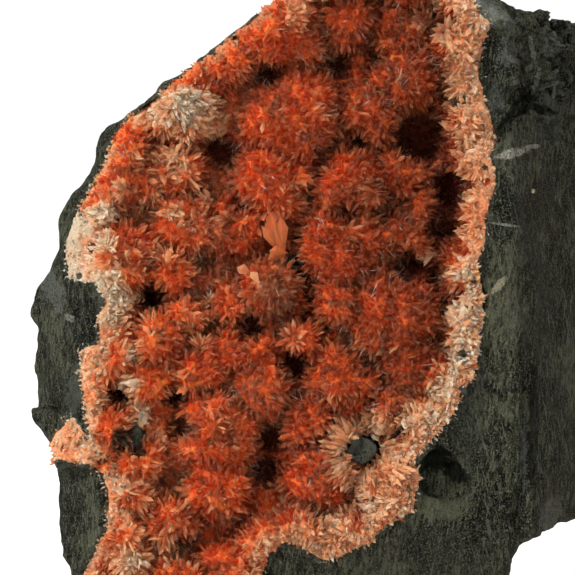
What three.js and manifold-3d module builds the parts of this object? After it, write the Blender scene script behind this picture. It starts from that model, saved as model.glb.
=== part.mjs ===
// Rhodochrosite on matrix: a hand specimen of dark, slaty rock with one broken face
// lined by a crust of pointed orange-red crystals.
//
// Frame, in millimetres: +Z up, +Y back into the rock, so the crystal face looks along -Y.
// The origin is the middle of the specimen's footprint, on the surface that it rests on.
// Points of the face are written [x, z], as seen from in front.

import * as THREE from "three";
import { ImprovedNoise } from "three/addons/math/ImprovedNoise.js";
import { TessellateModifier } from "three/addons/modifiers/TessellateModifier.js";
import { mergeVertices } from "three/addons/utils/BufferGeometryUtils.js";
import Module from "manifold-3d";

const wasm = await Module();
wasm.setup();

// ---------------------------------------------------------------- driving dimensions

const FACE_Y = -38; // plane of the broken face
const BACK_Y = 42; // deepest point of the rock
const SURFACE_GAP = 0.3; // clearance between crust and rock
const FAR = 400; // larger than the specimen, for blocks that only cut
const IN_FRONT = -70; // y of a plane in front of all crystals
const BEHIND = 100; // y of a plane behind the rock

const ROCK_EDGE = 18; // longest edge of a rock facet
const ROCK_WAVES = [ // how far a facet's corner strays, and the spacing of that unevenness
  { height: 1.3, spacing: 17 },
  { height: 0.9, spacing: 6.3 },
];

const CRYSTAL_SPACING = 3.9; // from one crystal's point to the next
const CRYSTAL_STRAY = 0.3; // share of the spacing by which a crystal leaves the even pattern
const CRYSTAL_LENGTH = 3.7; // how far a crystal stands out of the crust
const CRYSTAL_LEAN = 0.45; // random sideways share of a crystal's direction
const STEEPEST = 0.75; // slope of the crust beyond which crystals lean out no further
const RIM_GROWTH = 3; // distance from the rim at which crystals reach their full length
const HEAD_REACH = 5; // distance from the rim at which heads reach their full height
const CRUST_LEAST = 1.6; // thinnest place of the crust

const FLOOR_SPACING = 8; // lattice of the smooth surface under the crust
const RIM_FLOOR = 2.6; // depth of the rock's hollow at its rim
const HOLLOW_FLOOR = 19; // and in its middle
const FLOOR_REACH = 12; // distance over which it deepens
const RIM_RECESS = 0.4; // how far the crystals' feet lie behind the face at the rim
const RECESS_REACH = 9; // distance over which they fall back to the depths below
const RECESS_LEFT = { x: -45, depth: 2.5 };
const RECESS_RIGHT = { x: 18, depth: 9 };
const CRUST_FIELD = { left: -72, right: 42, low: -4, high: 158 }; // field that the lattices cover

// Outline of the rock, clockwise from its lower left foot.
const ROCK_OUTLINE = [
  [-52.8, 8.5], [-56.8, 16], [-59.3, 20], [-60.6, 25], [-61, 35.5], [-60.3, 39.5],
  [-61.5, 44.3], [-66, 47.8], [-67.2, 52.5], [-67, 58], [-65, 67.5], [-67.5, 71],
  [-61.7, 79], [-59.3, 84], [-59.2, 91.5], [-52.3, 102], [-49.5, 109], [-44.8, 112.3],
  [-36.8, 119.2], [-25.6, 127.2], [-14.6, 135.7], [-8, 145], [2, 151], [17, 150.5],
  [29.5, 145], [36, 136.3], [43, 135.2], [49, 136.4], [56, 135.5], [62, 127],
  [65, 105], [66, 86], [66, 65], [64, 42], [58.5, 29.5], [49.5, 25],
  [40.3, 24.3], [38, 22], [35.5, 16], [33, 8], [27.5, -8], [-44.5, -8],
];

// Outline of the crystal crust on the face, clockwise from its lower left.
const CRUST_OUTLINE = [
  [-54, 16], [-50.5, 22], [-48.5, 25.5], [-48.5, 33.5], [-50, 37], [-54, 39.5],
  [-61, 39.5], [-61, 43.5], [-57, 48.5], [-54, 46], [-51, 42], [-53, 48.5],
  [-54, 56.5], [-54, 63], [-50, 64.5], [-50.5, 69.5], [-49, 73], [-51, 77],
  [-57, 78], [-58, 83], [-57.5, 87], [-56, 91], [-51, 99], [-49, 102],
  [-47, 108], [-43.5, 111.5], [-35, 119], [-26, 125.5], [-20, 130.5], [-14.5, 135.5],
  [-8, 142], [2, 147], [14.5, 147], [23, 143], [26.5, 137.5], [31, 131.5],
  [30, 126], [29.5, 121], [31, 113], [32.5, 107.5], [31, 103.5], [32.5, 100.5],
  [30.5, 90.5], [30, 85], [28.5, 81], [30, 73.5], [29, 63], [28, 57],
  [25, 55.5], [25, 51.5], [21.5, 47], [19, 44], [16, 40.5], [15.5, 29],
  [9, 26.5], [6.5, 23], [0.5, 20], [-3.5, 19], [-9.5, 23], [-12.5, 22.5],
  [-15, 20], [-16.5, 16], [-19, 10], [-28.5, 4.5], [-40, 5], [-50.5, 10.5],
];

// Places where bare rock stands through the crust: [x, z, half width, half height].
const ROCK_ISLANDS = [
  [5, 41.5, 3.3, 2.8],
  [-43, 44.5, 1.8, 2.6],
];

// Rounded heads of crystals: [x, z, radius, height].
const HEADS = [
  [2, 142, 7, 4.5], [14.5, 140.5, 6.5, 4.5], [-12, 130.5, 8.5, 6.5], [-24, 125, 5.5, 4.5],
  [2, 132.5, 6.5, 3.5], [13, 130.5, 6.5, 3], [24, 126, 6, 5], [13.5, 121, 7, 6],
  [-10, 112.5, 10.5, 6.5], [6.5, 113, 6.5, 4.5], [-34.5, 113, 7, 5], [-44.5, 105, 5, 3.5],
  [26, 111.5, 5, 4], [-43, 98.5, 5.5, 4.5], [-35.5, 101, 6, 4.5], [-14.5, 98.5, 7.5, 6.5],
  [2, 97.5, 8, 6], [12.5, 100.5, 6, 3.5], [19, 92, 5.5, 3.5], [-52.5, 89, 5, 2],
  [-33, 90, 6.5, 3.5], [-23, 89, 6.5, 3], [-12, 88.5, 3.5, 3], [1, 85.5, 9, 6.5],
  [12.5, 86, 6, 4.5], [-46, 83, 7, 6], [-36.5, 79, 5, 4], [-15, 76, 6, 5],
  [11.5, 71, 10.5, 8], [1, 74, 6, 5], [-31.5, 70.5, 4.5, 4], [-23.5, 73.5, 4, 3.5],
  [26, 67, 4.5, 4], [-7.5, 65.5, 4, 3.5], [-21, 63, 6.5, 3.5], [-38, 66, 6, 4.5],
  [-48.5, 60.5, 4, 3.5], [-40, 57, 5.5, 4.5], [-29.5, 59, 6, 4.5], [1, 57, 8, 6.5],
  [15, 60, 7, 6], [-16.5, 55, 7, 5], [12.5, 51, 6.5, 5.5], [-6.5, 48, 6, 4.5],
  [-26, 46, 8.5, 6.5], [-47, 46, 3.5, 3], [-0.5, 44, 4.5, 4], [-42, 39.5, 5, 4],
  [-4, 35.5, 7.5, 6.5], [10, 33.5, 6.5, 5.5], [-43, 32.5, 4, 3.5], [-26, 33.5, 7, 6],
  [-35.5, 27, 6, 4.5], [-46, 25, 4, 3.5], [-8.5, 25.5, 5.5, 4.5], [1.5, 25, 6, 5],
  [-17, 22, 4.5, 4], [-44, 18.5, 4.5, 4], [-24, 17, 6, 5], [-33.5, 12.5, 6.5, 4.5],
];

// Holes between the heads: [x, z, radius, depth].
const PITS = [
  [17, 108, 7, 9], [23.5, 97, 5.5, 8], [22, 89.5, 5, 7], [14.3, 80.4, 4.8, 6],
  [19.5, 78.5, 3.5, 4], [-0.6, 123.5, 4, 5], [8, 125, 2.8, 3], [-14.7, 121, 4.2, 4.5],
  [-25.2, 105.4, 5, 5], [3.8, 107, 3.2, 4.5], [-40, 74, 4.5, 7], [-46.8, 53, 3.4, 7],
  [-34.5, 53, 3.4, 5.5], [-33, 46.5, 3.4, 5.5], [-19, 67.6, 3.8, 5.5], [-9.5, 59.4, 4.4, 6],
  [-15, 44, 4, 6], [-16, 37, 4.5, 6], [1.7, 63.8, 2.8, 4], [6, 60, 3, 3.5],
  [-33, 22, 4, 4.5], [4.5, 33, 1.8, 2.5], [1, 91.5, 3.5, 3.5], [-21, 93.5, 3, 3.5],
  [-4, 104.5, 3, 3], [-29, 82, 3.5, 3], [-3, 68, 2.5, 3], [11, 41, 2, 2],
];

// The open crack across the crust.
const CRACK = [[-9, 88], [-8.5, 81.5], [-9, 79], [-6.5, 75.5], [-6.5, 69.5]];
const CRACK_HALF_WIDTH = 1.7;
const CRACK_DEPTH = 3.5;

// Fractures that shape the rock in front, each a plane: outward normal and a point on it.
// The crust follows these.
const FRONT_FRACTURES = [
  { normal: [0, -1, 0], at: [0, FACE_Y, 70] },
  { normal: [-0.7, -0.71, 0.05], at: [-50, FACE_Y, 80] },
  { normal: [-0.42, -0.8, 0.42], at: [-33, FACE_Y, 120] },
  { normal: [0.1, -0.8, 0.6], at: [5, FACE_Y, 139] },
  { normal: [-0.1, -0.95, -0.3], at: [-30, FACE_Y, 14] },
];

// Fractures of its sides and back.
const OTHER_FRACTURES = [
  { normal: [0.86, -0.51, 0.03], at: [40.5, -36, 60] },
  { normal: [0.62, -0.45, 0.64], at: [50, -18, 131] },
  { normal: [0.72, 0.62, 0.2], at: [60, 24, 80] },
  { normal: [0.25, 0.66, 0.7], at: [25, 26, 132] },
  { normal: [-0.62, 0.45, 0.64], at: [-40, -10, 108] },
  { normal: [-0.86, 0.5, -0.1], at: [-61, -8, 60] },
  { normal: [-0.5, 0.85, 0.15], at: [-30, 30, 70] },
  { normal: [0.05, 0.8, -0.6], at: [10, 38, 22] },
  { normal: [-0.7, 0.45, -0.55], at: [-50, 5, 22] },
  { normal: [0, 1, 0.04], at: [10, BACK_Y - 1, 60] },
];

// Slabs flaked off the sides: the fracture that they left and the heights between which they
// broke away, on beds that rise by a slope to the right.
const FLAKES = [
  { normal: [0.86, -0.51, 0.03], at: [37.8, -36, 60], low: 128.5, high: 134, slope: -0.12 },
  { normal: [0.86, -0.51, 0.03], at: [36.4, -36, 60], low: 122, high: 125.5, slope: -0.2 },
  { normal: [0.86, -0.51, 0.03], at: [39.4, -36, 60], low: 96, high: 122, slope: -0.2 },
  { normal: [0.8, -0.6, 0.0], at: [40.2, -36, 60], low: 28, high: 51, slope: 0.15 },
  { normal: [-0.85, -0.5, -0.15], at: [-60.5, -27, 57], low: 34.5, high: 51, slope: -0.25 },
  { normal: [-0.78, -0.6, 0.1], at: [-56.8, -31, 28], low: 14, high: 38.5, slope: 0 },
  { normal: [0.72, 0.62, 0.2], at: [57, 24, 80], low: 70, high: 92, slope: 0.3 },
  { normal: [0.72, 0.62, 0.2], at: [54.5, 24, 80], low: 44, high: 60, slope: 0.3 },
  { normal: [-0.5, 0.85, 0.15], at: [-30, 27, 70], low: 58, high: 88, slope: -0.25 },
  { normal: [-0.5, 0.85, 0.15], at: [-30, 24.5, 70], low: 24, high: 46, slope: -0.25 },
  { normal: [0, 1, 0.04], at: [10, BACK_Y - 4, 60], low: 76, high: 104, slope: 0.2 },
  { normal: [-0.62, 0.45, 0.64], at: [-38.5, -11, 108], low: 104, high: 122, slope: 0.1 },
];

// Chips broken out of the face: an outline, and how deep the floor lies.
const CHIPS = [
  {
    outline: [[14.8, 37], [20.5, 42], [24.5, 40], [27, 33], [22.5, 31.5], [18, 33]],
    depth: 4.5,
  },
  {
    outline: [
      [29, 121], [30.5, 130.5], [40, 131], [42, 124], [44, 121], [41, 115], [37, 111.5],
      [32, 106.5], [30.5, 113],
    ],
    depth: 2,
  },
  { outline: [[47, 134.5], [58, 139], [70, 128], [66, 117], [52, 121], [47.5, 127]], depth: 18 },
];

// ---------------------------------------------------------------- solids

function solidOf(geometry) {
  const bare = geometry.clone();
  bare.deleteAttribute("normal");
  bare.deleteAttribute("uv");
  const merged = mergeVertices(bare, 1e-4);
  return new wasm.Manifold(
    new wasm.Mesh({
      numProp: 3,
      vertProperties: new Float32Array(merged.attributes.position.array),
      triVerts: new Uint32Array(merged.index.array),
    }),
  );
}

function geometryOf(solid) {
  const mesh = solid.getMesh();
  const corners = [];
  for (let i = 0; i < mesh.numVert; i++) {
    corners.push(...mesh.vertProperties.slice(i * mesh.numProp, i * mesh.numProp + 3));
  }
  const geometry = new THREE.BufferGeometry();
  geometry.setAttribute("position", new THREE.Float32BufferAttribute(corners, 3));
  geometry.setIndex(new THREE.BufferAttribute(mesh.triVerts, 1));
  return geometry;
}

// A column with an outline on the face, from y = near back to y = far.
function column(outline, near, far) {
  const shape = new THREE.Shape(outline.map(([x, z]) => new THREE.Vector2(x, z)));
  const geometry = new THREE.ExtrudeGeometry(shape, { depth: far - near, bevelEnabled: false });
  geometry.rotateX(Math.PI / 2);
  geometry.translate(0, far, 0);
  return solidOf(geometry);
}

// Everything outside one fracture, as a large block.
function beyond({ normal, at }) {
  const direction = new THREE.Vector3(...normal).normalize();
  const geometry = new THREE.BoxGeometry(FAR, FAR, FAR);
  geometry.translate(0, 0, FAR / 2);
  geometry.applyQuaternion(
    new THREE.Quaternion().setFromUnitVectors(new THREE.Vector3(0, 0, 1), direction),
  );
  geometry.translate(...at);
  return solidOf(geometry);
}

// A bed of the rock between two heights, rising by a slope to the right.
function bed(low, high, slope) {
  const geometry = new THREE.BoxGeometry(FAR, FAR, high - low);
  geometry.rotateY(-Math.atan(slope));
  geometry.translate(0, 0, (low + high) / 2);
  return solidOf(geometry);
}

// A closed block reaching back from a surface on a lattice of equilateral triangles. The
// surface's point for a place x, z in column col and row row is pointAt(x, z, col, row).
function blockBehind(pointAt, spacing) {
  const rowHeight = (spacing * Math.sqrt(3)) / 2;
  const { left, right, low, high } = CRUST_FIELD;
  const columns = Math.ceil((right - left) / spacing);
  const rows = Math.ceil((high - low) / rowHeight);
  const front = [];
  const back = [];
  for (let row = 0; row <= rows; row++) {
    for (let col = 0; col <= columns; col++) {
      const x = left + spacing * (col + (row % 2) / 2);
      const z = low + rowHeight * row;
      front.push(...pointAt(x, z, col, row));
      back.push(x, BEHIND, z);
    }
  }
  const width = columns + 1;
  const half = width * (rows + 1);
  const faces = [];
  const quad = (a, b, c, d) => faces.push(a, b, c, a, c, d);
  for (let row = 0; row < rows; row++) {
    for (let col = 0; col < columns; col++) {
      const a = row * width + col;
      const b = a + 1;
      const c = a + width + 1;
      const d = a + width;
      if (row % 2) {
        faces.push(a, b, c, a, c, d);
        faces.push(half + a, half + c, half + b, half + a, half + d, half + c);
      } else {
        faces.push(a, b, d, b, c, d);
        faces.push(half + a, half + d, half + b, half + b, half + d, half + c);
      }
    }
  }
  for (let col = 0; col < columns; col++) {
    const top = rows * width + col;
    quad(half + col, half + col + 1, col + 1, col);
    quad(top, top + 1, half + top + 1, half + top);
  }
  for (let row = 0; row < rows; row++) {
    const a = row * width;
    const b = a + columns;
    quad(a, a + width, half + a + width, half + a);
    quad(half + b, half + b + width, b + width, b);
  }
  const geometry = new THREE.BufferGeometry();
  geometry.setAttribute("position", new THREE.Float32BufferAttribute([...front, ...back], 3));
  geometry.setIndex(faces);
  return solidOf(geometry);
}

// ---------------------------------------------------------------- shape of the face

// Noise of x, y, z, from about -1 to 1. Far-apart offsets give unrelated values at one place.
const noise = new ImprovedNoise();

function smooth(from, to, value) {
  return THREE.MathUtils.smoothstep(value, from, to);
}

// Depth of the rock's unbroken front at a place of the face.
function frontAt(x, z) {
  return Math.max(
    ...FRONT_FRACTURES.map(({ normal: [nx, ny, nz], at: [ax, ay, az] }) => {
      return ay - (nx * (x - ax) + nz * (z - az)) / ny;
    }),
  );
}

function distanceToSegment(x, z, [ax, az], [bx, bz]) {
  const along = ((x - ax) * (bx - ax) + (z - az) * (bz - az)) / ((bx - ax) ** 2 + (bz - az) ** 2);
  const t = THREE.MathUtils.clamp(along, 0, 1);
  return Math.hypot(x - ax - t * (bx - ax), z - az - t * (bz - az));
}

function distanceToLine(x, z, points, closed) {
  const ends = closed ? [...points, points[0]] : points;
  return Math.min(...ends.slice(1).map((end, i) => distanceToSegment(x, z, ends[i], end)));
}

function isInside(x, z, outline) {
  let inside = false;
  outline.forEach(([ax, az], i) => {
    const [bx, bz] = outline[(i + 1) % outline.length];
    if (az > z !== bz > z && x < ax + ((bx - ax) * (z - az)) / (bz - az)) inside = !inside;
  });
  return inside;
}

// Distance from a place of the crust to its rim, and 0 outside the crust.
function rimDistance(x, z) {
  return isInside(x, z, CRUST_OUTLINE) ? distanceToLine(x, z, CRUST_OUTLINE, true) : 0;
}

// The tallest of several round caps [x, z, radius, height] over a place.
function capHeight(x, z, caps) {
  return Math.max(
    ...caps.map(([cx, cz, radius, height]) => {
      const share = Math.hypot(x - cx, z - cz) / radius;
      return share < 1 ? height * (1 - share ** 2) ** 0.75 : 0;
    }),
  );
}

// Depth of the rock's hollow under the crust.
function floorAt(x, z) {
  const deepening = smooth(0, FLOOR_REACH, rimDistance(x, z));
  return frontAt(x, z) + RIM_FLOOR + (HOLLOW_FLOOR - RIM_FLOOR) * deepening;
}

// Depth of the crystals' feet.
function crustAt(x, z) {
  const rim = rimDistance(x, z);
  const across = THREE.MathUtils.clamp((x - RECESS_LEFT.x) / (RECESS_RIGHT.x - RECESS_LEFT.x), 0, 1);
  const middle = THREE.MathUtils.lerp(RECESS_LEFT.depth, RECESS_RIGHT.depth, across);
  const recess = RIM_RECESS + middle * smooth(0, RECESS_REACH, rim);
  const crack = CRACK_DEPTH * smooth(CRACK_HALF_WIDTH, 0, distanceToLine(x, z, CRACK, false));
  const relief = capHeight(x, z, PITS) - capHeight(x, z, HEADS) * smooth(0, HEAD_REACH, rim);
  return Math.min(frontAt(x, z) + recess + relief + crack, floorAt(x, z) - CRUST_LEAST);
}

// Sideways part of the direction in which a crystal grows: square to the smooth surface, whose
// slope is measured over a short step to each side.
function growthAt(x, z) {
  const step = 1.5;
  const slopeX = (crustAt(x + step, z) - crustAt(x - step, z)) / (2 * step);
  const slopeZ = (crustAt(x, z + step) - crustAt(x, z - step)) / (2 * step);
  return new THREE.Vector2(slopeX, slopeZ).clampLength(0, STEEPEST);
}

// ---------------------------------------------------------------- pieces

function tintedMesh(name, solid, colour, roughness) {
  const material = new THREE.MeshStandardMaterial({ color: colour, roughness, metalness: 0 });
  material.flatShading = true;
  const mesh = new THREE.Mesh(geometryOf(solid), material);
  mesh.name = name;
  return mesh;
}

// Breaks the rock's planes into facets and lets their corners stray.
function weathered(solid) {
  const facets = new TessellateModifier(ROCK_EDGE, 12).modify(geometryOf(solid).toNonIndexed());
  const position = facets.getAttribute("position");
  for (let i = 0; i < position.count; i++) {
    const corner = new THREE.Vector3().fromBufferAttribute(position, i);
    const strayed = corner.clone();
    for (const { height, spacing } of ROCK_WAVES) {
      const { x, y, z } = corner.clone().divideScalar(spacing);
      strayed.x += height * noise.noise(x, y, z);
      strayed.y += height * noise.noise(x + 31.7, y, z);
      strayed.z += height * noise.noise(x, y + 57.3, z);
    }
    position.setXYZ(i, ...strayed);
  }
  return solidOf(facets);
}

function rockBody() {
  let rock = column(ROCK_OUTLINE, IN_FRONT, BACK_Y);
  for (const fracture of [...FRONT_FRACTURES, ...OTHER_FRACTURES]) {
    rock = rock.subtract(beyond(fracture));
  }
  for (const flake of FLAKES) {
    rock = rock.subtract(beyond(flake).intersect(bed(flake.low, flake.high, flake.slope)));
  }
  for (const { outline, depth } of CHIPS) {
    rock = rock.subtract(column(outline, IN_FRONT, FACE_Y + depth));
  }
  return weathered(rock).subtract(beyond({ normal: [0, 0, -1], at: [0, 0, 0] }));
}

function islandOutline([x, z, halfWidth, halfHeight], margin) {
  const corners = 7;
  return Array.from({ length: corners }, (_, i) => {
    const turn = (-2 * Math.PI * i) / corners;
    return [x + (halfWidth + margin) * Math.cos(turn), z + (halfHeight + margin) * Math.sin(turn)];
  });
}

// A clockwise outline with every edge moved inwards by a small margin.
function inset(outline, margin) {
  const inward = ([ax, az], [bx, bz]) => new THREE.Vector2(bz - az, ax - bx).normalize();
  return outline.map((point, i) => {
    const before = inward(outline[(i + outline.length - 1) % outline.length], point);
    const after = inward(point, outline[(i + 1) % outline.length]);
    const scale = margin / (1 + before.dot(after));
    return [point[0] + scale * (before.x + after.x), point[1] + scale * (before.y + after.y)];
  });
}

// The lattice of crystal feet and points: every third point of it is a crystal's tip.
function crystalPoint(x, z, col, row) {
  const stray = CRYSTAL_STRAY * CRYSTAL_SPACING;
  const footX = x + stray * noise.noise(x * 1.7, 3.1, z * 1.7);
  const footZ = z + stray * noise.noise(x * 1.7, 9.4, z * 1.7);
  const foot = new THREE.Vector3(footX, crustAt(footX, footZ), footZ);
  const isTip = (((col - (row >> 1) - row) % 3) + 3) % 3 === 0;
  if (isTip) {
    const lean = new THREE.Vector3(noise.noise(x, z, 5.5), 0, noise.noise(x, z, 8.8));
    const length = CRYSTAL_LENGTH * (1 + 0.5 * noise.noise(x * 0.9, 1.3, z * 0.9));
    const slope = growthAt(footX, footZ);
    const direction = new THREE.Vector3(slope.x, -1, slope.y);
    direction.addScaledVector(lean, CRYSTAL_LEAN).normalize();
    foot.addScaledVector(direction, length * smooth(-1, RIM_GROWTH, rimDistance(footX, footZ)));
  }
  return foot.toArray();
}

const floorBlock = blockBehind((x, z) => [x, floorAt(x, z), z], FLOOR_SPACING);

function hollow() {
  let space = column(CRUST_OUTLINE, IN_FRONT, BACK_Y);
  for (const island of ROCK_ISLANDS) {
    space = space.subtract(column(islandOutline(island, 0), IN_FRONT, BACK_Y));
  }
  return space.subtract(floorBlock.translate([0, SURFACE_GAP, 0]));
}

function crust() {
  const crystals = blockBehind(crystalPoint, CRYSTAL_SPACING / Math.sqrt(3));
  let layer = crystals.subtract(floorBlock);
  layer = layer.intersect(column(inset(CRUST_OUTLINE, SURFACE_GAP), IN_FRONT, BACK_Y));
  for (const island of ROCK_ISLANDS) {
    layer = layer.subtract(column(islandOutline(island, SURFACE_GAP), IN_FRONT, BACK_Y));
  }
  return layer;
}

const specimen = new THREE.Group();
specimen.add(tintedMesh("matrix_rock", rockBody().subtract(hollow()), 0x3a3d39, 0.85));
specimen.add(tintedMesh("rhodochrosite_crust", crust(), 0xb4431f, 0.3));

export default specimen;
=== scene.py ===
# %% [markdown]
# # A crystal specimen on its rock
# This lesson dresses a hand specimen: a block of dark slaty rock whose broken face is lined with
# thousands of small orange-red crystals. A rough model of both already exists and gives every
# size. Here the rock gets its real surface, and the crust gets crystals that grow out of it.

# %% Load the rough model
import math
import random

import bmesh
import bpy
import numpy as np
from mathutils import Matrix, Vector, bvhtree, noise


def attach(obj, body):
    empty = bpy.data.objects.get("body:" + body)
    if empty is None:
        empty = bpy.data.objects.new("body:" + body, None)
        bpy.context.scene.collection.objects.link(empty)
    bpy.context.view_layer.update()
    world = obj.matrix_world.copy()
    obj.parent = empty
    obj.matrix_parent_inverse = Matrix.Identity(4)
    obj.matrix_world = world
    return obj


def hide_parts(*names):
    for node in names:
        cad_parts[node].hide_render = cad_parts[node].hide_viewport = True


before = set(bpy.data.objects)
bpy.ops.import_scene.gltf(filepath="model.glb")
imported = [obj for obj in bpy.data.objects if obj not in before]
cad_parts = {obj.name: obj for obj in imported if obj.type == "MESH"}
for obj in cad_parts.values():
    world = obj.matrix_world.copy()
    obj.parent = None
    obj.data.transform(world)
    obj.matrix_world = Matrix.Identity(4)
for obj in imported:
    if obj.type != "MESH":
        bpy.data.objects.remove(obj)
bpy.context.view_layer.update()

MM = 0.001
noise.seed_set(23)  # without it, noise_vector differs from run to run

# %% [markdown]
# ## Small helpers for nodes
# Finishes and sowing are both trees of nodes. A few short helpers keep the trees readable: they
# make a node, set its sockets and do sums. A finish can also blend two colours, turn a noise
# into a soft mask, and lay spots over a colour. All its patterns read Object coordinates or
# values that are kept on the mesh, so they stay on the stone whichever way it is looked at.


# %% Node helpers
class Nodes:
    """A tree of nodes under construction."""

    def __init__(self, tree):
        self.tree = tree

    def node(self, kind, inputs=None, **settings):
        made = self.tree.nodes.new(kind)
        for key, value in settings.items():
            setattr(made, key, value)
        for key, value in (inputs or {}).items():
            self.feed(made.inputs[key], value)
        return made

    def feed(self, socket, value):
        """Gives a socket its value, or the link from which it takes one."""
        if isinstance(value, bpy.types.NodeSocket):
            self.tree.links.new(value, socket)
        elif isinstance(value, (tuple, list)) and socket.type == "RGBA":
            socket.default_value = (*value, 1.0)
        else:
            socket.default_value = value

    def math(self, operation, a, b):
        return self.node("ShaderNodeMath", {0: a, 1: b}, operation=operation).outputs[0]

    def times(self, a, b):
        return self.math("MULTIPLY", a, b)

    def plus(self, a, b):
        return self.math("ADD", a, b)


# %% Material helpers
THIN_MARK = 1.6  # mm, half the width of a spot that counts as thin


class Finish(Nodes):
    """A material under construction."""

    def __init__(self, name):
        self.material = bpy.data.materials.new(name)
        self.material.use_nodes = True
        super().__init__(self.material.node_tree)
        self.shader = self.tree.nodes["Principled BSDF"]
        self.place = self.node("ShaderNodeTexCoord").outputs["Object"]

    def blend(self, share, below, above):
        made = self.node("ShaderNodeMix", data_type="RGBA", clamp_factor=True)
        self.feed(made.inputs[0], share)
        self.feed(made.inputs[6], below)
        self.feed(made.inputs[7], above)
        return made.outputs[2]

    def span(self, value, low, high):
        """0 at low, 1 at high, smooth between."""
        made = self.node("ShaderNodeMapRange", {0: value, 1: low, 2: high},
                         interpolation_type="SMOOTHSTEP")
        return made.outputs[0]

    def kept(self, name):
        """A number that the mesh keeps at each of its points."""
        return self.node("ShaderNodeAttribute", attribute_name=name).outputs["Fac"]

    def noise(self, size_mm, detail=3.0, rough=0.55, stretch=(1, 1, 1), turn=0.0, offset=0.0):
        """A cloudy pattern, 0 to 1, whose clouds are about size_mm across.

        Stretched clouds lean by turn degrees to the right.
        """
        scale = tuple(1 / (size_mm * MM * s) for s in stretch)
        if turn:
            lean = (0, math.radians(-turn), 0)
            place = self.node("ShaderNodeMapping", {0: self.place, 2: lean}).outputs[0]
        else:
            place = self.place
        moved = self.node("ShaderNodeMapping", {0: place, 1: (offset,) * 3, 3: scale})
        made = self.node("ShaderNodeTexNoise", {"Vector": moved.outputs[0], "Scale": 1.0,
                                                "Detail": detail, "Roughness": rough})
        return made.outputs[0]

    def marked(self, body, marks, ragged, grainy):
        """Lays soft-edged spots over a colour; the thin ones fray less."""
        for centre, half, turn, colour, strength in marks:
            local = self.node("ShaderNodeMapping", {
                0: self.place, 1: [c * MM for c in centre],
                2: (0, math.radians(turn), 0), 3: [h * MM for h in half]}, vector_type="TEXTURE")
            ball = self.node("ShaderNodeTexGradient", {0: local.outputs[0]},
                             gradient_type="SPHERICAL")
            fray = self.times(ragged, 0.25 if min(half) < THIN_MARK else 0.45)
            share = self.span(self.plus(ball.outputs["Fac"], fray), 0.2, 0.5)
            share = self.times(self.times(share, grainy), strength)
            body = self.blend(share, body, colour)
        return body

    def bump(self, height, depth_mm, after=None):
        made = self.node("ShaderNodeBump", {"Strength": 1.0, "Distance": depth_mm * MM,
                                            "Height": height})
        if after is not None:
            self.feed(made.inputs["Normal"], after)
        return made.outputs[0]

    def finish(self, **sockets):
        for key, value in sockets.items():
            self.feed(self.shader.inputs[key.replace("_", " ")], value)
        return self.material


# %% [markdown]
# ## The lie of the broken face
# The rock broke along a few planes, and the crust follows them. The crust itself swells into
# rounded heads and sinks into pits, falls back from its rim, and is crossed by an open crack.
# These are the same outlines and caps as in the rough model, in millimetres, written as x, z.

# %% Planes, outline, heads and pits
FACE_Y = -38
FRONT_FRACTURES = [
    ((0, -1, 0), (0, FACE_Y, 70)),
    ((-0.7, -0.71, 0.05), (-50, FACE_Y, 80)),
    ((-0.42, -0.8, 0.42), (-33, FACE_Y, 120)),
    ((0.1, -0.8, 0.6), (5, FACE_Y, 139)),
    ((-0.1, -0.95, -0.3), (-30, FACE_Y, 14)),
]
CRUST_OUTLINE = np.array([
    (-54, 16), (-50.5, 22), (-48.5, 25.5), (-48.5, 33.5), (-50, 37), (-54, 39.5),
    (-61, 39.5), (-61, 43.5), (-57, 48.5), (-54, 46), (-51, 42), (-53, 48.5),
    (-54, 56.5), (-54, 63), (-50, 64.5), (-50.5, 69.5), (-49, 73), (-51, 77),
    (-57, 78), (-58, 83), (-57.5, 87), (-56, 91), (-51, 99), (-49, 102),
    (-47, 108), (-43.5, 111.5), (-35, 119), (-26, 125.5), (-20, 130.5), (-14.5, 135.5),
    (-8, 142), (2, 147), (14.5, 147), (23, 143), (26.5, 137.5), (31, 131.5),
    (30, 126), (29.5, 121), (31, 113), (32.5, 107.5), (31, 103.5), (32.5, 100.5),
    (30.5, 90.5), (30, 85), (28.5, 81), (30, 73.5), (29, 63), (28, 57),
    (25, 55.5), (25, 51.5), (21.5, 47), (19, 44), (16, 40.5), (15.5, 29),
    (9, 26.5), (6.5, 23), (0.5, 20), (-3.5, 19), (-9.5, 23), (-12.5, 22.5),
    (-15, 20), (-16.5, 16), (-19, 10), (-28.5, 4.5), (-40, 5), (-50.5, 10.5),
])
ROCK_ISLANDS = np.array([  # bare spots: centre x, z; half width, half height
    (5.4, 41.2, 4.2, 3.6), (-43, 44.5, 1.8, 2.6),
])
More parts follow.
